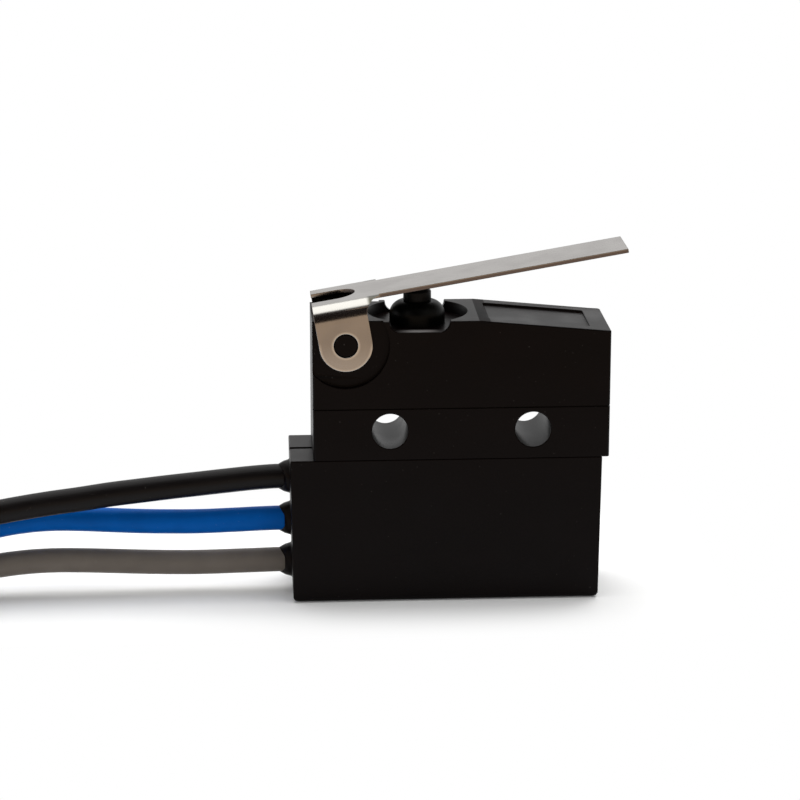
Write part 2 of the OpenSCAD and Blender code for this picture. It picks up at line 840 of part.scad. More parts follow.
// Solder that joins a lead's strands to its terminal
module solder(i) {
    color("#c8c8cc")
        difference() {
            solder_form(i);
            translate([0, 0, lead_z[i]])
                bar_x(tail_x[i] - solder_l - past, strand_end_x(i) + past, strand_d / 2);
        }
}

module black_lead_end() lead_end(0);
module blue_lead_end() lead_end(1);
module grey_lead_end() lead_end(2);
module black_strands() strands(0);
module blue_strands() strands(1);
module grey_strands() strands(2);
module common_solder() solder(0);
module open_solder() solder(1);
module closed_solder() solder(2);

// Leads outside the cup, and the hank of spare length

module black_lead() color(lead_color[0]) tube(black_route, lead_d / 2, lead_sides);
module blue_lead() color(lead_color[1]) tube(blue_route, lead_d / 2, lead_sides);
module grey_lead() color(lead_color[2]) tube(grey_route, lead_d / 2, lead_sides);

// Outline of the hank with round ends, for leads out to radius r
module hank_plan(r) {
    translate([0, hank_y]) {
        translate([hank_x - hank_run, -r]) square([hank_run, 2 * r]);
        for (x = [hank_x, hank_x - hank_run])
            translate([x, 0]) circle(r);
    }
}

// Spare length of all three leads, folded into one hank
module lead_hank() {
    color("#3a3a40")
        translate([0, 0, tie_t])
            linear_extrude(hank_h)
                difference() {
                    hank_plan(hank_out);
                    hank_plan(hank_in);
                }
}

// Tie around the waist of the hank
module hank_tie() {
    color("#141414")
        translate([tie_x, hank_y, tie_t + hank_h / 2])
            crosswise(tie_w)
                difference() {
                    round_rect(2 * (hank_out + tie_t), hank_h + 2 * tie_t, tie_t);
                    square([2 * hank_out, hank_h], center = true);
                }
}

wire_cup();
potting();
base();
cover();
lever();
plunger();
plunger_boot();
common_terminal();
open_terminal();
closed_terminal();
open_contact();
closed_contact();
contact_blade();
moving_contact();
rocker();
snap_spring();
black_lead_end();
blue_lead_end();
grey_lead_end();
black_strands();
blue_strands();
grey_strands();
common_solder();
open_solder();
closed_solder();
black_lead();
blue_lead();
grey_lead();
lead_hank();
hank_tie();
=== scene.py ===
from math import cos, hypot, pi, radians, sin

import bmesh
import bpy
from mathutils import Matrix, Vector


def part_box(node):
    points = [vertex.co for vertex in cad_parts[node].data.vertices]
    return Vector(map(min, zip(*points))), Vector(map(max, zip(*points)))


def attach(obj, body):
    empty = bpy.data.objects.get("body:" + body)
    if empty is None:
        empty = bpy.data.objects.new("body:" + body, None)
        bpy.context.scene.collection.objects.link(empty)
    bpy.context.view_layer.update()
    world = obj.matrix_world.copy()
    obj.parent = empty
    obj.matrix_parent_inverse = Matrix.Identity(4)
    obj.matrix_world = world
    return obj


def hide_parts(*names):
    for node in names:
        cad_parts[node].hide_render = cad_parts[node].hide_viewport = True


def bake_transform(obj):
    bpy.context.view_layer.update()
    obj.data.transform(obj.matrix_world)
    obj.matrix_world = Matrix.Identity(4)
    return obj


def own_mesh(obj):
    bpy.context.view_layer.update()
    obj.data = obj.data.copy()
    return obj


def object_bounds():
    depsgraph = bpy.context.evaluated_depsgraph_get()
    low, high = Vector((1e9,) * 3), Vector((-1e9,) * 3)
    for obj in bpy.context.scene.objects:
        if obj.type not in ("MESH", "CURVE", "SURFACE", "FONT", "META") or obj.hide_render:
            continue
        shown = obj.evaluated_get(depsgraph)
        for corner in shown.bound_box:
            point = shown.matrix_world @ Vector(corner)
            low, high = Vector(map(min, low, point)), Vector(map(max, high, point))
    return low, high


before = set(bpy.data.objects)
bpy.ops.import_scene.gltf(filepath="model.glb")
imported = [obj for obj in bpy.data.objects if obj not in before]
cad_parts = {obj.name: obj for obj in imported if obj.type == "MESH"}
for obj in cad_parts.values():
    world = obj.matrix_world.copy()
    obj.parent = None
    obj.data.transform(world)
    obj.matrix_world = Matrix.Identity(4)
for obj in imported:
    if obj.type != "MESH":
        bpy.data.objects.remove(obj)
cad_low, cad_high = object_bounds()

# Studio: a sheet of white paper on a wooden table, under a large soft lamp and a smaller one that shows
# only as a reflection. A long lens looks a little down on the switch. The paper stops short of it, so
# the metal mirrors white from behind and above, and the table, two walls and the camera from the front.
MM = 0.001
FRAME_PX = 800
FOCAL_PX = 2811
EYE = Vector((-14.408, -181.484, 63.246)) * MM
LOOKED_AT = Vector((-3.92, 0, 13.13)) * MM
NEAREST_SEEN = 10 * MM
LAMPS = {
    "top_lamp": {
        "place": (20, 140, 390), "aim": (-4, 0, 13), "size": (480, 480),
        "watts": 2.4, "mirrored": False,
    },
    "side_lamp": {
        "place": (-90, 200, 390), "aim": (-90, 200, 0), "size": (240, 560),
        "watts": 0.42, "mirrored": True,
    },
}
WHITE = (1, 1, 1, 1)
AMBIENT = (0.45, 0.45, 0.45, 1)
CAMERA_DARK = (0.02, 0.012, 0.01, 1)
WALL_PALE = (0.7, 0.68, 0.65, 1)
TABLE_WOOD = (0.86, 0.66, 0.49, 1)
# Where one thing in the room gives way to the next, as parts of a direction of length 1
CAMERA_SIDE = -0.08
CAMERA_TO_WALL = (0.3, 0.42)
WALL_TO_TABLE = (0.33, 0.27)
WALL_TO_CEILING = (0.93, 0.98)
FRONT_TO_BACK = (-0.15, 0.05)
PAPER_X = 700 * MM
PAPER_FRONT = -45 * MM
PAPER_BACK = 800 * MM
PAPER_DROP = 0.02 * MM
PAPER_WHITE = (0.9, 0.9, 0.895, 1)
PAPER_LIFT = 0.035
SHADOW_REACH = (0.5, 7.5)


class Shade:
    """A shader value that takes part in Python arithmetic: each operator adds one Math node."""

    def __init__(self, tree, socket=None):
        self.tree = tree
        self.socket = socket

    def node(self, kind, settings, sockets, output=0):
        """Adds a node, sets it up, fills its sockets with values or links, and gives one output."""
        made = self.tree.nodes.new(kind)
        for name, value in settings.items():
            setattr(made, name, value)
        for key, value in sockets.items():
            if isinstance(value, Shade):
                self.tree.links.new(value.socket, made.inputs[key])
            else:
                made.inputs[key].default_value = value
        return Shade(self.tree, made.outputs[output] if made.outputs else None)

    def math(self, operation, first, second=0):
        return self.node("ShaderNodeMath", {"operation": operation}, {0: first, 1: second})

    def __add__(self, other):
        return self.math("ADD", self, other)

    def __sub__(self, other):
        return self.math("SUBTRACT", self, other)

    def __rsub__(self, other):
        return self.math("SUBTRACT", other, self)

    def __mul__(self, other):
        return self.math("MULTIPLY", self, other)

    def __abs__(self):
        return self.math("ABSOLUTE", self)

    __radd__ = __add__
    __rmul__ = __mul__


def larger(first, second):
    return first.math("MAXIMUM", first, second)


def smooth(value, low, high):
    """0 below low, 1 above high, and a soft step between them; low may be the larger one."""
    return value.node("ShaderNodeMapRange", {"interpolation_type": "SMOOTHSTEP"},
                      {"Value": value, "From Min": low, "From Max": high})


def past(place, low, high):
    """The same soft step along a length, with low and high in millimetres."""
    return smooth(place, low * MM, high * MM)


def mixed(mask, first, second):
    """The first colour where mask is 0, the second where it is 1."""
    # A Mix node takes its two colours at sockets 6 and 7, and gives the mixed one at output 2
    return mask.node("ShaderNodeMix", {"data_type": "RGBA"}, {0: mask, 6: first, 7: second}, 2)


def part_of(vector, axis):
    return vector.node("ShaderNodeSeparateXYZ", {}, {"Vector": vector}, axis)


def ray_is(paint, kind):
    return paint.node("ShaderNodeLightPath", {}, {}, kind)


def shown_by(paint):
    """1 for rays that show the room: to the lens, off a shiny surface or through a clear one."""
    seen = larger(ray_is(paint, "Is Camera Ray"), ray_is(paint, "Is Glossy Ray"))
    return larger(seen, ray_is(paint, "Is Transmission Ray"))


def placed(name, data):
    """Puts a mesh, a curve, a lamp or a camera into the scene as an object."""
    made = bpy.data.objects.new(name, data)
    bpy.context.scene.collection.objects.link(made)
    return made


def aimed(thing, at):
    """Turns a lamp or a camera to look at a place."""
    thing.rotation_euler = (at - thing.location).to_track_quat("-Z", "Y").to_euler()


bpy.context.scene.view_settings.view_transform = "Standard"
camera = placed("camera", bpy.data.cameras.new("camera"))
camera.data.lens = FOCAL_PX * camera.data.sensor_width / FRAME_PX
camera.data.clip_start = NEAREST_SEEN
camera.location = EYE
aimed(camera, LOOKED_AT)
bpy.context.scene.camera = camera

for name, lamp in LAMPS.items():
    light = placed(name, bpy.data.lights.new(name, "AREA"))
    light.data.shape = "RECTANGLE"
    light.data.size, light.data.size_y = (side * MM for side in lamp["size"])
    light.data.energy = lamp["watts"]
    light.visible_glossy = lamp["mirrored"]
    light.visible_diffuse = not lamp["mirrored"]
    light.location = Vector(lamp["place"]) * MM
    aimed(light, Vector(lamp["aim"]) * MM)

bpy.context.scene.world = bpy.data.worlds.new("room")
bpy.context.scene.world.use_nodes = True
bpy.context.scene.world.node_tree.nodes.clear()
room = Shade(bpy.context.scene.world.node_tree)
direction = room.node("ShaderNodeTexCoord", {}, {}, "Generated")
rise = part_of(direction, "Z")
aside = abs(part_of(direction, "X") - CAMERA_SIDE)
front = mixed(smooth(aside, *CAMERA_TO_WALL), CAMERA_DARK, WALL_PALE)
front = mixed(smooth(rise, *WALL_TO_TABLE), front, TABLE_WOOD)
front = mixed(smooth(rise, *WALL_TO_CEILING), front, WHITE)
around = mixed(smooth(part_of(direction, "Y"), *FRONT_TO_BACK), front, WHITE)
seen_room = mixed(ray_is(room, "Is Camera Ray"), around, WHITE)
air = mixed(shown_by(room), AMBIENT, seen_room)
room.node("ShaderNodeOutputWorld", {},
          {"Surface": room.node("ShaderNodeBackground", {}, {"Color": air, "Strength": 1})})


def new_finish(name):
    """An empty material, the handle that its nodes are made with, and the place on the piece."""
    material = bpy.data.materials.new(name)
    material.use_nodes = True
    material.node_tree.nodes.clear()
    paint = Shade(material.node_tree)
    return material, paint, paint.node("ShaderNodeTexCoord", {}, {}, "Object")


def painted_on(mesh, material):
    mesh.materials.clear()
    mesh.materials.append(material)


paper_mesh = bpy.data.meshes.new("paper")
paper_mesh.from_pydata([
    (-PAPER_X, PAPER_FRONT, -PAPER_DROP), (PAPER_X, PAPER_FRONT, -PAPER_DROP),
    (PAPER_X, PAPER_BACK, -PAPER_DROP), (-PAPER_X, PAPER_BACK, -PAPER_DROP),
], [], [(0, 1, 2, 3)])
paper = placed("paper", paper_mesh)
paper_finish, paint, place = new_finish("white_paper")
x, y = part_of(place, "X"), part_of(place, "Y")
reach = larger(larger(cad_low[0] - x, x - cad_high[0]), larger(cad_low[1] - y, y - cad_high[1]))
matt = paint.node("ShaderNodeBsdfDiffuse", {}, {"Color": PAPER_WHITE})
lift = paint.node("ShaderNodeEmission", {},
                  {"Color": WHITE, "Strength": PAPER_LIFT * shown_by(paint)})
near = paint.node("ShaderNodeAddShader", {}, {0: matt, 1: lift})
far = paint.node("ShaderNodeEmission", {}, {"Color": WHITE, "Strength": 1})
is_far = past(reach, *SHADOW_REACH) * shown_by(paint)
paint.node("ShaderNodeOutputMaterial", {},
           {"Surface": paint.node("ShaderNodeMixShader", {}, {0: is_far, 1: near, 2: far})})
painted_on(paper_mesh, paper_finish)

# Leads: three stranded copper wires in extruded vinyl, moulded into the left end of the wire cup. The
# first stretch runs free to the left; the spare length is folded twice round a flat hank, one lead on
# another, and ends in square cuts.
LEAD_D = 1.66
EXIT_HANDLE = Vector((0.4, 0, 0)) * MM
HANK_Y = 5
HANK_RIGHT = -41
HANK_LEFT = -57
HANK_LANES = ((6.8, 6.8), (6.8, 5.1), (5.1, 5.1))
RUN_STEP = 4
TURN_STEPS = 12
LEADS = {
    "black": {
        "layer": 4.53, "colour": (0.004, 0.003, 0.003, 1), "sheen": 0.15,
        "route": [
            (-12.1, 0, 7.95), (-13.5, 0, 7.88), (-15.5, 0, 7.7), (-17.5, -0.1, 7.53),
            (-19.5, -0.2, 7.36), (-21.5, -0.4, 7.2), (-23.5, -0.6, 7.03), (-25.5, -0.8, 6.8),
            (-27.5, -1, 6.6), (-29.5, -1.2, 6.35), (-31.5, -1.4, 6.05), (-33.5, -1.55, 5.7),
            (-35.5, -1.7, 5.3), (-37.5, -1.8, 4.95), (-39.5, -1.8, 4.65), (-41.5, -1.8, 4.53),
        ],
    },
    "blue": {
        "layer": 2.83, "colour": (0.0003, 0.09, 0.38, 1), "sheen": 0.05,
        "route": [
            (-12.1, 0, 5), (-13.5, 0, 4.97), (-15.5, 0, 4.9), (-17.5, 0.1, 4.82),
            (-19.5, 0.2, 4.81), (-21.5, 0.3, 4.84), (-23.5, 0.45, 4.9), (-25.5, 0.55, 4.98),
            (-27.5, 0.55, 5.02), (-29.5, 0.4, 4.92), (-31.5, 0.1, 4.65), (-33.5, -0.4, 4.2),
            (-35.5, -0.95, 3.7), (-37.5, -1.45, 3.25), (-39.5, -1.75, 2.93), (-41.5, -1.8, 2.83),
        ],
    },
    "grey": {
        "layer": 1.13, "colour": (0.16, 0.138, 0.118, 1), "sheen": 0.07,
        "route": [
            (-12.1, 0, 2.05), (-13.5, 0, 2.02), (-15.5, 0, 1.98), (-17.5, 0, 1.95),
            (-19.5, 0, 1.98), (-21.5, 0, 2.05), (-23.5, 0, 2.14), (-25.5, 0, 2.22),
            (-27.5, 0, 2.25), (-29.5, -0.1, 2.18), (-31.5, -0.35, 2), (-33.5, -0.75, 1.75),
            (-35.5, -1.2, 1.5), (-37.5, -1.6, 1.28), (-39.5, -1.78, 1.16), (-41.5, -1.8, 1.13),
        ],
    },
}
LINT = (0.3, 0.28, 0.26, 1)
STRAND_R = 0.14
STRAND_TIP = 0.9
STRAND_SIDES = 16
STRAND_RING = 0.29
STRANDS_ROUND = 6
STRAND_OUT = 0.25
COPPER_BRIGHT = (0.72, 0.34, 0.2, 1)
COPPER_DULL = (0.5, 0.22, 0.12, 1)


def grain(paint, place, size, detail=2.0):
    """Soft noise from 0 to 1, with blotches about as wide as size, in millimetres."""
    return paint.node("ShaderNodeTexNoise", {},
                      {"Vector": place, "Scale": 1 / (size * MM), "Detail": detail})


def stretched(paint, place, scale):
    """The same place, with each axis multiplied."""
    return paint.node("ShaderNodeVectorMath", {"operation": "MULTIPLY"},
                      {0: place, 1: scale}, "Vector")


def raised(height, depth, **below):
    """The normal of a surface that stands proud by depth, in millimetres, where height is 1.

    It stands on the surface itself, or on another Normal if below gives one.
    """
    return height.node("ShaderNodeBump", {}, {"Height": height, "Distance": depth * MM, **below})


def surfaced(paint, sockets):
    """Ends a material in one shader with these values."""
    shader = paint.node("ShaderNodeBsdfPrincipled", {}, sockets)
    paint.node("ShaderNodeOutputMaterial", {}, {"Surface": shader})


def shaded(colour, times):
    return tuple(channel * times for channel in colour[:3]) + (1,)


def vinyl(name, colour, sheen):
    """Extruded vinyl: an even colour, a soft sheen with faint drag lines, and a little dust."""
    material, paint, place = new_finish(name)
    cloud = grain(paint, place, 1.6)
    skin = grain(paint, stretched(paint, place, (0.12, 1, 1)), 0.12)
    dust = smooth(grain(paint, place, 0.22), 0.7, 0.8)
    body = mixed(cloud, shaded(colour, 0.85), shaded(colour, 1.15))
    surfaced(paint, {
        "Base Color": mixed(0.12 * dust, body, LINT),
        "Roughness": 0.3 + 0.12 * cloud + 0.1 * skin,
        "Specular IOR Level": sheen,
        "Normal": raised(skin + 0.5 * cloud, 0.004),
    })
    return material


def copper(name):
    """Drawn copper strands: bright, warm, darker where they have dulled."""
    material, paint, place = new_finish(name)
    dull = grain(paint, place, 0.4)
    lay = grain(paint, stretched(paint, place, (0.15, 1, 1)), 0.08)
    surfaced(paint, {
        "Base Color": mixed(dull, COPPER_BRIGHT, COPPER_DULL),
        "Metallic": 1,
        "Roughness": 0.25 + 0.2 * dull,
        "Normal": raised(lay, 0.004),
    })
    return material


def hank_turns(height):
    """One lead's way round the hank: a straight run and a half turn, three times, and a last run."""
    points = []
    for turn, (first_r, last_r) in enumerate(HANK_LANES):
        towards_left = turn % 2 == 0
        start, end = (HANK_RIGHT, HANK_LEFT) if towards_left else (HANK_LEFT, HANK_RIGHT)
        step = -RUN_STEP if towards_left else RUN_STEP
        lane_y = HANK_Y - first_r if towards_left else HANK_Y + first_r
        points += [(x, lane_y, height) for x in range(start + step, end, step)]
        for k in range(TURN_STEPS + 1):
            share = k / TURN_STEPS
            angle = radians(-90 - 180 * (turn + share))
            r = first_r + (last_r - first_r) * share
            points.append((end + r * cos(angle), HANK_Y + r * sin(angle), height))
    last_y = HANK_Y + HANK_LANES[-1][1]
    last_run = range(HANK_LEFT + RUN_STEP, HANK_RIGHT + 1, RUN_STEP)
    return points + [(x, last_y, height) for x in last_run]


def cord_curve(name, points, radius, roundness=6, steps=5):
    """A round cord along the points, with square ends."""
    curve = bpy.data.curves.new(name, "CURVE")
    curve.dimensions = "3D"
    curve.bevel_depth = radius
    curve.bevel_resolution = roundness
    curve.resolution_u = steps
    curve.use_fill_caps = True
    spline = curve.splines.new("BEZIER")
    spline.bezier_points.add(len(points) - 1)
    for knot, point in zip(spline.bezier_points, points):
        knot.co = Vector(point) * MM
        knot.handle_left_type = knot.handle_right_type = "AUTO"
    return placed(name, curve)


def squared_exit(cord):
    """Lets a cord leave straight along X, so that its end stands square to the collar."""
    knot = cord.data.splines[0].bezier_points[0]
    knot.handle_left_type = knot.handle_right_type = "FREE"
    knot.handle_left = knot.co + EXIT_HANDLE
    knot.handle_right = knot.co - EXIT_HANDLE


def strand_bundle(name, end):
    """Seven cut strands that show in the square end of a lead, which faces along X."""
    shape = bmesh.new()
    angles = [2 * pi * k / STRANDS_ROUND for k in range(STRANDS_ROUND)]
    ring = [(STRAND_RING * cos(angle), STRAND_RING * sin(angle)) for angle in angles]
    for y, z in [(0, 0), *ring]:
        made = bmesh.ops.create_cone(
            shape, cap_ends=True, segments=STRAND_SIDES, radius1=STRAND_R * MM,
            radius2=STRAND_R * STRAND_TIP * MM, depth=2 * STRAND_OUT * MM)
        bmesh.ops.rotate(shape, verts=made["verts"], matrix=Matrix.Rotation(pi / 2, 3, "Y"))
        bmesh.ops.translate(shape, verts=made["verts"], vec=(end + Vector((0, y, z))) * MM)
    mesh = bpy.data.meshes.new(name)
    shape.to_mesh(mesh)
    shape.free()
    return placed(name, mesh)


strand_finish = copper("strand_copper")
lead_finishes = {}
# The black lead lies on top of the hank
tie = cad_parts["hank_tie"]
for name, lead in LEADS.items():
    points = lead["route"] + hank_turns(lead["layer"])
    cord = cord_curve(name + "_cord", points, LEAD_D / 2 * MM)
    squared_exit(cord)
    lead_finishes[name] = vinyl(name + "_vinyl", lead["colour"], lead["sheen"])
    painted_on(cord.data, lead_finishes[name])
    cut_end = strand_bundle(name + "_cut_strands", Vector(points[-1]))
    painted_on(cut_end.data, strand_finish)
    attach(cord, "housing")
    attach(cut_end, "housing")
    name + "_insulation"
    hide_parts(name + "_lead")
    [cut_end, tie] if name == "black" else [cut_end]
    if name == "black":
        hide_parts("lead_hank")

# Tie: a narrow strip of soft black plastic, cut from a roll. It is wound once round the middle of the
# hank and pressed together, and keeps the folded leads flat.
TIE_BLACK = (0.008, 0.008, 0.008, 1)
TIE_WORN = (0.016, 0.015, 0.015, 1)


def tie_strip(name):
    material, paint, place = new_finish(name)
    ribs = grain(paint, stretched(paint, place, (1, 0.1, 0.1)), 0.2)
    worn = grain(paint, place, 1.5)
    surfaced(paint, {
        "Base Color": mixed(worn, TIE_BLACK, TIE_WORN),
        "Roughness": 0.4 + 0.2 * worn,
        "Specular IOR Level": 0.3,
        "Normal": raised(ribs, 0.01),
    })
    return material


painted_on(tie.data, tie_strip("tie_plastic"))

# Wire cup: a thin-walled box of black glass-filled polyester with a fine spark-eroded skin. It closes
# the switch from below over the terminals' tails; the leads come through the tapered collars on its
# left end, and resin holds all of them.
WELD = 0.0001 * MM
FLAT = radians(0.3)
SHARP = radians(30)
ROUND_STEPS = 3
CUP_WALL = 0.3
CUP_ROUND = 0.09
LEDGE_END = -9.9
GROOVE_ROUND = 0.03
COLLAR_X = -11.45
COLLAR_ROOT = 0.1
COLLAR_ROUND = 0.06
COLLAR_TIP = 0.5
COLLAR_LIP = 0.03
COLLAR_BACK = 0.42
POLYESTER_DEEP = (0.0014, 0.0004, 0.0004, 1)
POLYESTER_FLOW = (0.003, 0.0012, 0.0011, 1)
DUST = (0.2, 0.18, 0.16, 1)


def softened(node, name, round_at, moved=None):
    """A piece in the shape of a node, with its sharp edges rounded.

    round_at(place) gives the size of the round at the middle of an edge, and moved(place), if it is
    given, says where a corner goes first. Both work in millimetres.
    """
    shape = bmesh.new()
    shape.from_mesh(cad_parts[node].data)
    shape.transform(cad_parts[node].matrix_world)
    bmesh.ops.remove_doubles(shape, verts=shape.verts, dist=WELD)
    bmesh.ops.dissolve_limit(shape, angle_limit=FLAT, verts=shape.verts, edges=shape.edges)
    for corner in shape.verts if moved else ():
        corner.co = moved(corner.co / MM) * MM
    weight = shape.edges.layers.float.new("bevel_weight_edge")
    for edge in shape.edges:
        if edge.calc_face_angle(0) > SHARP:
            edge[weight] = round_at((edge.verts[0].co + edge.verts[1].co) / 2 / MM)
            edge.smooth = edge[weight] > 0
    widest = max(edge[weight] for edge in shape.edges)
    if widest:
        for edge in shape.edges:
            edge[weight] /= widest
    for face in shape.faces:
        face.smooth = True
    mesh = bpy.data.meshes.new(name)
    shape.to_mesh(mesh)
    shape.free()
    piece = placed(name, mesh)
    if widest:
        bevel = piece.modifiers.new("rounding", "BEVEL")
        bevel.limit_method = "WEIGHT"
        bevel.width = widest * MM
        bevel.segments = ROUND_STEPS
        bevel.use_clamp_overlap = False
    piece.modifiers.new("normals", "WEIGHTED_NORMAL").keep_sharp = True
    return piece


def fitted(piece, node, body, material):
    """Gives a piece its finish, and puts it in the place of a node on a body."""
    painted_on(piece.data, material)
    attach(piece, body)
    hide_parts(node)


def moulding(name, detail=None):
    """Black polyester: pitted skin, faint flow marks, rubbed places and dust.

    detail(place, body, roughness), if it is given, adds one moulding's own marks and painted light.
    """
    material, paint, place = new_finish(name)
    pits = grain(paint, place, 0.07, detail=1)
    flow = grain(paint, stretched(paint, place, (0.35, 1, 1)), 1.8)
    rubbed = smooth(grain(paint, place, 3.5), 0.5, 0.75)
    dust = smooth(grain(paint, place, 0.16, detail=0), 0.8, 0.9)
    body = mixed(flow, POLYESTER_DEEP, POLYESTER_FLOW)
    body = mixed(0.15 * dust, body, DUST)
    roughness = 0.33 - 0.08 * rubbed + 0.06 * pits
    if detail:
        body, roughness = detail(place, body, roughness)
    surfaced(paint, {
        "Base Color": body,
        "Roughness": roughness,
        "Specular IOR Level": 0.075,
        "Normal": raised(pits, 0.004),
    })
    return material


def corners(node):
    """The lowest and the highest corner of a node's box, in millimetres."""
    return [Vector(corner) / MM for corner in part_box(node)]


cup_high = corners("wire_cup")[1]


def cup_round(at):
    lengthwise = COLLAR_X + CUP_WALL < at.x < cup_high.x - CUP_WALL
    inside = lengthwise and abs(at.y) < cup_high.y - CUP_WALL and at.z > CUP_WALL
    on_top = at.z > cup_high.z - CUP_WALL
    if at.x < COLLAR_X:
        return COLLAR_ROUND if at.x > COLLAR_X - COLLAR_ROOT else 0
    if inside:
        return GROOVE_ROUND if on_top and at.x < LEDGE_END else 0
    return CUP_ROUND


def thin_lips(at):
    """Each collar runs out to a thin lip on its lead, and stands back at the front and the back."""
    if at.x > COLLAR_X - COLLAR_TIP:
        return at
    middles = [Vector((at.x, 0, lead["route"][0][2])) for lead in LEADS.values()]
    middle = min(middles, key=lambda each: (at - each).length)
    out = at - middle
    lip = min(out.length, LEAD_D / 2 + COLLAR_LIP)
    back = COLLAR_BACK * (out.y / out.length) ** 2
    return middle + out.normalized() * lip + Vector((back, 0, 0))


housing_finish = moulding("black_polyester")
fitted(softened("wire_cup", "cup_shell", cup_round, thin_lips),
       "wire_cup", "housing", housing_finish)

# Filling of the cup: the ends of the leads with their bared and tinned strands, soldered through the
# holes in the terminals' tails, and dark resin poured over them.
RESIN_DARK = (0.012, 0.009, 0.007, 1)
RESIN_THIN = (0.03, 0.022, 0.016, 1)
SOLDER_BRIGHT = (0.62, 0.61, 0.6, 1)
SOLDER_DULL = (0.42, 0.41, 0.4, 1)
CIRCUITS = {"black": "common", "blue": "open", "grey": "closed"}


def resin(name):
    material, paint, place = new_finish(name)
    swirl = grain(paint, place, 2.5, detail=4)
    bubbles = smooth(grain(paint, place, 0.3, detail=0), 0.72, 0.8)
    surfaced(paint, {
        "Base Color": mixed(swirl, RESIN_DARK, RESIN_THIN),
        "Roughness": 0.2 + 0.25 * swirl,
        "Specular IOR Level": 0.4,
        "Normal": raised(swirl - bubbles, 0.02),
    })
    return material


def flowed_solder(name):
    material, paint, place = new_finish(name)
    lumps = grain(paint, place, 0.35)
    dull = smooth(grain(paint, place, 0.12), 0.45, 0.7)
    surfaced(paint, {
        "Base Color": mixed(dull, SOLDER_BRIGHT, SOLDER_DULL),
        "Metallic": 1,
        "Roughness": 0.22 + 0.25 * dull,
        "Normal": raised(lumps, 0.03),
    })
    return material


painted_on(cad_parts["potting"].data, resin("potting_resin"))
solder_finish = flowed_solder("solder")
for name, circuit in CIRCUITS.items():
    painted_on(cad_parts[name + "_lead_end"].data, lead_finishes[name])
    painted_on(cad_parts[name + "_strands"].data, strand_finish)
    painted_on(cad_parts[circuit + "_solder"].data, solder_finish)

# Terminals and fixed contacts: strips stamped from half-hard brass and pressed through the base. The
# open and the closed one each carry a silver-alloy button, riveted into a hole.
STAMPED_ROUND = 0.03
RIVET_ROUND = 0.09
BRASS_BRIGHT = (0.62, 0.43, 0.16, 1)
BRASS_DULL = (0.48, 0.32, 0.12, 1)
SILVER_BRIGHT = (0.78, 0.76, 0.72, 1)
SILVER_DULL = (0.6, 0.58, 0.54, 1)
GRAIN_UPRIGHT = (1, 1, 0.06)
NO_GRAIN = (1, 1, 1)


def metal(name, bright, dull, along, shine):
    """Rolled or turned metal: grain along one direction, dull clouds and a few specks of tarnish."""
    material, paint, place = new_finish(name)
    lines = grain(paint, stretched(paint, place, along), 0.05)
    cloud = smooth(grain(paint, place, 1.2), 0.35, 0.7)
    specks = smooth(grain(paint, place, 0.2, detail=1), 0.72, 0.82)
    surfaced(paint, {
        "Base Color": mixed(0.6 * specks, mixed(cloud, bright, dull), shaded(dull, 0.5)),
        "Metallic": 1,
        "Roughness": shine + 0.12 * cloud + 0.08 * lines,
        "Normal": raised(lines, 0.002),
    })
    return material


def stamped(at):
    return STAMPED_ROUND


def riveted(at):
    return RIVET_ROUND


brass_finish = metal("strip_brass", BRASS_BRIGHT, BRASS_DULL, GRAIN_UPRIGHT, shine=0.26)
silver_finish = metal("contact_silver", SILVER_BRIGHT, SILVER_DULL, NO_GRAIN, shine=0.24)
for circuit in CIRCUITS.values():
    node = circuit + "_terminal"
    fitted(softened(node, circuit + "_strip", stamped),
           node, "housing", brass_finish)
for circuit in ("open", "closed"):
    node = circuit + "_contact"
    fitted(softened(node, circuit + "_button", riveted),
           node, "housing", silver_finish)

# Snap mechanism: a blade and a rocker of rolled copper alloy, each with a knife edge in a groove of
# the common terminal, and a tension spring hooked from the rocker's end to the end of the window that
# is cut in the blade.
ALLOY_BRIGHT = (0.66, 0.36, 0.2, 1)
ALLOY_DULL = (0.5, 0.26, 0.14, 1)
WIRE_BRIGHT = (0.56, 0.56, 0.57, 1)
WIRE_DULL = (0.42, 0.42, 0.43, 1)
GRAIN_LENGTHWISE = (0.06, 1, 1)
SPRING_FROM = Vector((-0.9, 0, 15.998))
SPRING_TO = Vector((3.589, 0, 15.595))
SPRING_R = 0.51
SPRING_WIRE = 0.18
SPRING_TURNS = 9
SPRING_STEPS = 20
alloy_finish = metal("blade_alloy", ALLOY_BRIGHT, ALLOY_DULL, GRAIN_LENGTHWISE, shine=0.22)
wire_finish = metal("spring_wire", WIRE_BRIGHT, WIRE_DULL, NO_GRAIN, shine=0.2)
fitted(softened("contact_blade", "blade", stamped),
       "contact_blade", "blade", alloy_finish)
fitted(softened("moving_contact", "moving_button", riveted),
       "moving_contact", "blade", silver_finish)
fitted(softened("rocker", "rocker_arm", stamped),
       "rocker", "rocker", alloy_finish)

coil = []
for k in range(SPRING_TURNS * SPRING_STEPS + 1):
    turns = k / SPRING_STEPS
    r = SPRING_R * min(1, turns, SPRING_TURNS - turns)
    centre = SPRING_FROM.lerp(SPRING_TO, turns / SPRING_TURNS)
    coil.append(centre + Vector((0, r * sin(2 * pi * turns), r * cos(2 * pi * turns))))
wire = cord_curve("wire", coil, SPRING_WIRE / 2 * MM, roundness=3, steps=1)
spring = placed("tension_spring", bpy.data.meshes.new_from_object(wire))
bpy.data.objects.remove(wire)
for face in spring.data.polygons:
    face.use_smooth = True
painted_on(spring.data, wire_finish)
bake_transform(spring)
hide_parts("snap_spring")

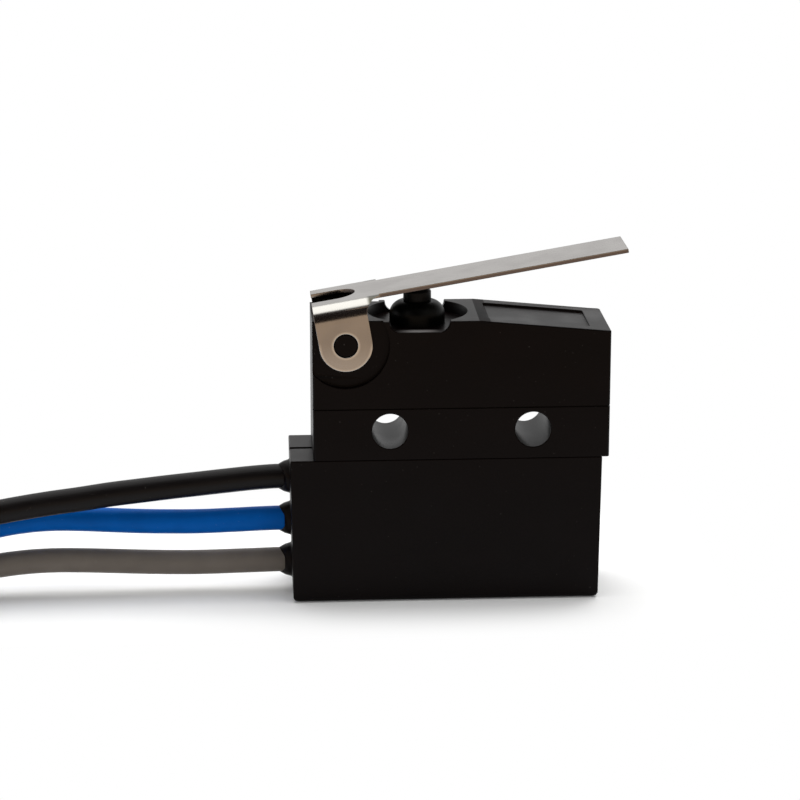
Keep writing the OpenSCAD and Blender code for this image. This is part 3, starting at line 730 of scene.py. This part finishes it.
# Base: a thick plate of the same polyester with the two cross holes for the mounting screws. The
# terminals pass through its slots, and it plugs the top of the cup.
# How near to a face an edge still counts as lying on it
NEAR = 0.05
BASE_WALL = 0.15
BASE_FOOT = cup_high.z
BASE_SIDE = 3.4
HOLE_ROUND = 0.07
SEAM_ROUND = 0.02
base_high = corners("base")[1]


def base_round(at):
    inside = abs(at.y) < base_high.y - BASE_WALL and abs(at.x) < base_high.x - BASE_WALL
    if inside or at.z < BASE_FOOT - NEAR:
        return 0
    if at.z < BASE_FOOT + NEAR:
        return SEAM_ROUND
    if at.z > BASE_FOOT + BASE_SIDE:
        return SEAM_ROUND if abs(at.y) > base_high.y - NEAR else 0
    return HOLE_ROUND


fitted(softened("base", "base_plate", base_round), "base", "housing", housing_finish)

# Cover: the same polyester, snapped over the base's rim. Its top is sunk round the boot and slopes away
# under the lever, with a bare sunken field. The lever's ears turn on its two studs, in round pockets.
PIVOT_X = -7.65
PIVOT_Z = 17.72
POCKET_R = 2.9
POCKET_EDGE = 0.1
PLUNGER_X = -2.78
CHAMBER_X = 8.95
CHAMBER_Y = 2.3
ROOF_Z = 17.6
RECESS_REACH = 4
RECESS_Z = 18.55
COVER_END = 0.5
COVER_ROUND = 0.07
SMALL_ROUND = 0.05
MATT_FROM = 1.15
MATT_TO = 1.85
MATT_DEPTH = 0.2
# A painted highlight: pale colour on the recess's floor beside the boot, where light is caught
PAINTED_HIGHLIGHT_ASIDE = (1.7, 0.2)
PAINTED_HIGHLIGHT_IN = (2.2, 2.6)
PAINTED_HIGHLIGHT_OUT = (3.18, 2.9)
FLOOR_PAINTED_HIGHLIGHT = (0.2, 0.19, 0.186, 1)
cover_low, cover_high = corners("cover")


def cover_round(at):
    inside = abs(at.y) < CHAMBER_Y and abs(at.x) < CHAMBER_X and at.z < ROOF_Z + NEAR
    recess = hypot(at.x - PLUNGER_X, at.y) < RECESS_REACH and at.z < cover_high.z - NEAR
    if inside or recess or at.z < cover_low.z + NEAR:
        return 0
    if hypot(at.x - PIVOT_X, at.z - PIVOT_Z) < POCKET_R + POCKET_EDGE:
        return SMALL_ROUND if at.x > cover_low.x + COVER_END else 0
    if abs(at.y) > cover_high.y - NEAR or abs(at.x) > cover_high.x - NEAR:
        return COVER_ROUND
    return SMALL_ROUND


def cover_marks(place, body, roughness):
    """A matt band across the top, and a painted highlight, pale, on the recess's floor beside the boot.
    """
    x, z = part_of(place, "X"), part_of(place, "Z")
    aside = abs(x - PLUNGER_X * MM)
    outward = abs(part_of(place, "Y"))
    on_top = past(z, cover_high.z - MATT_DEPTH - NEAR, cover_high.z - MATT_DEPTH)
    band = past(x, MATT_FROM - NEAR, MATT_FROM) * past(x, MATT_TO + NEAR, MATT_TO)
    on_floor = (past(z, RECESS_Z + NEAR, RECESS_Z)
                * past(z, RECESS_Z - 2 * NEAR, RECESS_Z - NEAR))
    # Painted highlight on the recess's floor, beside the boot
    bloom_and_painted_highlight = (past(aside, *PAINTED_HIGHLIGHT_ASIDE) * past(outward, *PAINTED_HIGHLIGHT_IN) * past(outward, *PAINTED_HIGHLIGHT_OUT)
             * on_floor)
    return mixed(bloom_and_painted_highlight, body, FLOOR_PAINTED_HIGHLIGHT), roughness + 0.2 * band * on_top


fitted(softened("cover", "cover_shell", cover_round),
       "cover", "housing", moulding("cover_polyester", cover_marks))

# Plunger: a smooth pin of black plastic, moulded in one piece with its stop flange. The cover's bore
# guides it; its domed head meets the lever's underside and its foot stands on the rocker.
PLUNGER_ROUND = 0.05
PLUNGER_BLACK = (0.003, 0.003, 0.003, 1)
PLUNGER_WORN = (0.007, 0.0065, 0.006, 1)


def smooth_plastic(name):
    material, paint, place = new_finish(name)
    worn = grain(paint, place, 0.5)
    turning = grain(paint, stretched(paint, place, (0.1, 0.1, 1)), 0.05)
    surfaced(paint, {
        "Base Color": mixed(worn, PLUNGER_BLACK, PLUNGER_WORN),
        "Roughness": 0.28 + 0.2 * worn,
        "Specular IOR Level": 0.08,
        "Normal": raised(turning, 0.002),
    })
    return material


fitted(softened("plunger", "plunger_pin", lambda at: PLUNGER_ROUND),
       "plunger", "plunger", smooth_plastic("plunger_plastic"))

# Boot: a bell of black rubber that stands in the cover's recess, grips the plunger's neck and seals
# the bore.
BOOT_FOOT = 0.1
RUBBER_BLACK = (0.0015, 0.0015, 0.0012, 1)
RUBBER_BLOOM = (0.004, 0.004, 0.0035, 1)
boot_low, boot_high = corners("plunger_boot")


def boot_round(at):
    return SMALL_ROUND if at.z > boot_low.z + BOOT_FOOT else 0


def rubber(name):
    material, paint, place = new_finish(name)
    bloom_and_painted_highlight = smooth(grain(paint, place, 0.9), 0.4, 0.75)
    skin = grain(paint, place, 0.08, detail=1)
    surfaced(paint, {
        "Base Color": mixed(bloom_and_painted_highlight, RUBBER_BLACK, RUBBER_BLOOM),
        "Roughness": 0.34 + 0.15 * bloom_and_painted_highlight,
        "Specular IOR Level": 0.07,
        "Normal": raised(skin, 0.002),
    })
    return material


boot = softened("plunger_boot", "rubber_boot", boot_round)
fitted(boot, "plunger_boot", "housing", rubber("boot_rubber"))
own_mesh(boot)

# Lever: stainless sheet, stamped and then bent, with two ears that clip over the cover's studs. Its
# faces keep the grain of the rolled sheet. Its bends are lighter, from the tool's burnish and from a
# painted highlight. The rim of each hole and the lower rim of each ear carry a painted highlight, the
# ears grow lighter towards the bottom as a painted reflection, and the shoulders carry painted shade.
# Its sheared edges are duller and brown where the tool tore them.
LEVER_TILT = radians(9.7)
LEVER_RISE = 2.52
LEVER_T = 0.28
LEVER_ROUND = 0.04
STRAP_SIDE = 2
SHOULDER_X = (1.5, 2.8)
SHOULDER_REACH = 0.1
EAR_R = 1.75
EAR_HOLE_R = 0.8
BEND_Y = 2.2
# The bends are shaded as a curve of this radius that begins this high above the pivot
TURN_R = 1.3
TURN_FOOT = 1.5
# Where each mark on the steel begins and where it is full, measured from the pivot
STRAP_EDGE = (STRAP_SIDE - 0.03, STRAP_SIDE - 0.01)
STRAP_ROOT = (2.6, 2.9)
TORN_BELOW = (LEVER_RISE + 0.85 * LEVER_T, LEVER_RISE + 0.7 * LEVER_T)
CUT_ABOVE = (1, 1.4)
# The rim of each hole and the lower rim of each ear: a painted highlight
HOLE_RIM = (EAR_HOLE_R + 0.2, EAR_HOLE_R + 0.05)
EAR_RIM = (EAR_R - 0.2, EAR_R - 0.05)
EAR_RIM_BELOW = (0.3, -0.3)
# The ears grow lighter towards the bottom: a painted reflection
PAINTED_REFLECTION_BELOW = (0.3, -1.5)
# Bends: lighter, from the tool's burnish and from a painted highlight
BRIGHT_OUT = (BEND_Y + 0.05, BEND_Y + 0.2)
BRIGHT_ABOVE = (LEVER_RISE - 0.17, LEVER_RISE - 0.02)
# Shoulders: painted shade, darker where the bend's highlight runs into them
SHOULDER_ALONG = (1.8, 2.1)
SHOULDER_OUT = (STRAP_SIDE + 0.02, STRAP_SIDE + 0.2)
TURN_OUT = (BEND_Y - 0.15, BEND_Y)
TURN_ABOVE = (TURN_FOOT - 0.2, TURN_FOOT)
TURN_FACING_OUT = (0, 0.5)
# The same for how far the surface faces along the strap, from 0 to 1
CUT_ENDWISE = (0.2, 0.5)
TURN_ENDWISE = (0.4, 0.2)
SHEET_PALE = (0.305, 0.285, 0.266, 1)
SHEET_DARK = (0.275, 0.256, 0.239, 1)
SHEET_PAINTED_REFLECTION = (0.36, 0.35, 0.34, 1)
RIM_PAINTED_HIGHLIGHT = (0.55, 0.53, 0.5, 1)
BEND_BURNISH_AND_PAINTED_HIGHLIGHT = (0.5, 0.485, 0.45, 1)
SHOULDER_PAINTED_SHADE = (0.08, 0.076, 0.058, 1)
ROLLER_MARK = (0.2, 0.185, 0.17, 1)
TORN_BROWN = (0.14, 0.115, 0.105, 1)


def turned_bend(paint, place, above, bent):
    """The normal of the sheet, which turns evenly from the strap to the ear where bent is 1."""
    climb = paint.node("ShaderNodeMapRange", {}, {
        "Value": above, "From Min": TURN_FOOT * MM, "From Max": (TURN_FOOT + TURN_R) * MM})
    level = paint.math("SQRT", 1 - climb * climb) * paint.math("SIGN", part_of(place, "Y"))
    turned = paint.node("ShaderNodeCombineXYZ", {}, {
        "X": -sin(LEVER_TILT) * climb, "Y": level, "Z": cos(LEVER_TILT) * climb})
    turned = paint.node("ShaderNodeVectorTransform", {
        "vector_type": "NORMAL", "convert_from": "OBJECT", "convert_to": "WORLD",
    }, {"Vector": turned})
    own = paint.node("ShaderNodeNewGeometry", {}, {}, "Normal")
    # A Mix node takes its two vectors at sockets 4 and 5, and gives the mixed one at output 1
    return paint.node("ShaderNodeMix", {"data_type": "VECTOR"}, {0: bent, 4: own, 5: turned}, 1)


def rolled_steel(name):
    material, paint, place = new_finish(name)
    lines = grain(paint, stretched(paint, place, (0.04, 1, 0.5)), 0.06)
    cloud = smooth(grain(paint, place, 2.2), 0.35, 0.7)
    marks = smooth(grain(paint, stretched(paint, place, (0.3, 1, 1)), 0.5, detail=1), 0.68, 0.78)

    out = part_of(place, "X") - PIVOT_X * MM
    up = part_of(place, "Z") - PIVOT_Z * MM
    along = out * cos(LEVER_TILT) + up * sin(LEVER_TILT)
    above = up * cos(LEVER_TILT) - out * sin(LEVER_TILT)
    across = abs(part_of(place, "Y"))
    from_pivot = paint.math("SQRT", out * out + up * up)
    normal = paint.node("ShaderNodeTexCoord", {}, {}, "Normal")
    endwise = abs(paint.node(
        "ShaderNodeVectorMath", {"operation": "DOT_PRODUCT"},
        {0: normal, 1: (cos(LEVER_TILT), 0, sin(LEVER_TILT))}, "Value"))
    outward = part_of(normal, "Y") * part_of(place, "Y")

    long_edges = past(across, *STRAP_EDGE) * past(along, *STRAP_ROOT) * past(above, *TORN_BELOW)
    cut_ends = smooth(endwise, *CUT_ENDWISE) * past(up, *CUT_ABOVE)
    torn = larger(long_edges, cut_ends)
    rim_painted_highlights = past(from_pivot, *HOLE_RIM) + past(from_pivot, *EAR_RIM) * past(up, *EAR_RIM_BELOW)
    burnish_and_painted_highlight = past(across, *BRIGHT_OUT) * past(above, *BRIGHT_ABOVE)
    shoulder_painted_shade = past(along, *SHOULDER_ALONG) * past(across, *SHOULDER_OUT)
    bent = (past(outward, *TURN_FACING_OUT) * smooth(endwise, *TURN_ENDWISE)
            * past(above, *TURN_ABOVE) * past(across, *TURN_OUT))

    sheet = mixed(cloud, SHEET_PALE, SHEET_DARK)
    # Painted reflection: the ears lighter towards the bottom
    sheet = mixed(past(up, *PAINTED_REFLECTION_BELOW), sheet, SHEET_PAINTED_REFLECTION)
    # Painted highlight round each hole and along the lower rim of each ear
    sheet = mixed(0.7 * rim_painted_highlights, sheet, RIM_PAINTED_HIGHLIGHT)
    # The bends are lighter: burnish, and a painted highlight
    sheet = mixed(burnish_and_painted_highlight, sheet, BEND_BURNISH_AND_PAINTED_HIGHLIGHT)
    # Painted shade on the shoulders, over the end of the bend's highlight
    sheet = mixed(shoulder_painted_shade, sheet, SHOULDER_PAINTED_SHADE)
    sheet = mixed(0.25 * marks, sheet, ROLLER_MARK)
    surfaced(paint, {
        "Base Color": mixed(torn, sheet, TORN_BROWN),
        "Metallic": 1,
        "Roughness": 0.17 + 0.05 * cloud + 0.05 * lines + 0.2 * torn,
        "Normal": raised(lines + 0.5 * marks, 0.0007,
                         Normal=turned_bend(paint, place, above, bent)),
    })
    return material


def lever_round(at):
    hollow = SHOULDER_X[0] < at.x - PIVOT_X < SHOULDER_X[1]
    return 0 if hollow and abs(at.y) > STRAP_SIDE - SHOULDER_REACH else LEVER_ROUND


fitted(softened("lever", "lever_strap", lever_round),
       "lever", "lever", rolled_steel("stainless_sheet"))
